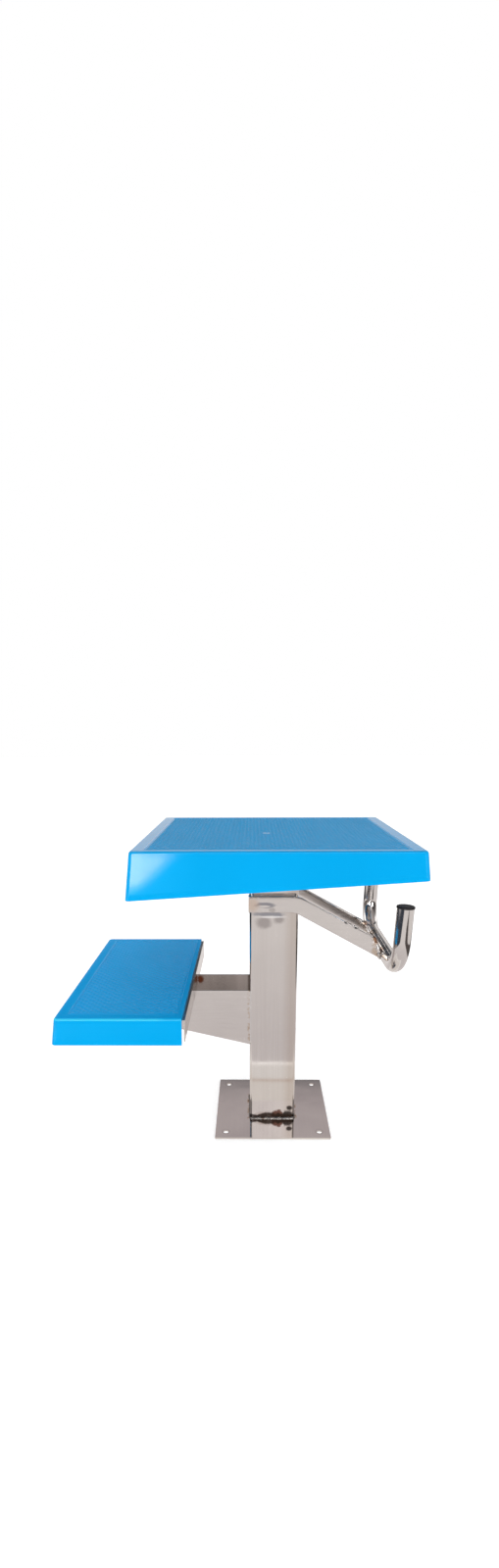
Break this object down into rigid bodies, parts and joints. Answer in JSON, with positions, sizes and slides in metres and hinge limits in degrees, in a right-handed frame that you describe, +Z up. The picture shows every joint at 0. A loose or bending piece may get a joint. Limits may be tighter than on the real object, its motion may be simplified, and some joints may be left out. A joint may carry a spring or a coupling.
{
  "type": "pool starting block",
  "caption": "Square stainless post on a floor plate, with a blue non-slip platform, a rear step and a U-shaped hand bar in front.",
  "frame": {"origin": "centre of the floor plate's underside, on the finished floor", "axes": "+Z up; -Y towards the pool, where the hand bar is; +Y towards the deck, where the step is; X across. Left pieces are at +X, as seen by a swimmer facing the pool"},
  "size_m": [0.5278, 0.6737, 0.644],
  "materials": {
    "stainless": "polished stainless sheet and tube with faint grinding marks",
    "weld": "bare stainless weld bead with light heat tint",
    "blue_plastic": "glossy moulded plastic with a moulded non-slip panel",
    "black_plastic": "black moulded tube cap",
    "fastener": "stainless fasteners"
  },
  "bodies": {
    "root": {"base_plate": "stainless", "post": "stainless", "post_foot_weld": "weld", "post_head_plate": "stainless", "post_head_weld": "weld", "head_gussets": "stainless", "platform_tray": "stainless", "tray_stiffener_front": "stainless", "tray_stiffener_rear": "stainless", "head_bolts": "fastener", "head_bolt_washers": "fastener", "head_bolt_nuts": "fastener", "platform_shell": "blue_plastic", "platform_screws": "fastener", "platform_screw_washers": "fastener", "arm_left": "stainless", "arm_right": "stainless", "arm_end_plate_left": "stainless", "arm_end_plate_right": "stainless", "arm_weld_left": "weld", "arm_weld_right": "weld", "handle_bar": "stainless", "handle_cap_left": "black_plastic", "handle_cap_right": "black_plastic", "handle_weld_left": "weld", "handle_weld_right": "weld", "step_bracket": "stainless", "step_bracket_welds": "weld", "step_tray": "stainless", "step_tray_welds": "weld", "step_shell": "blue_plastic", "step_screws": "fastener", "step_screw_washers": "fastener"}
  },
  "joints": []
}
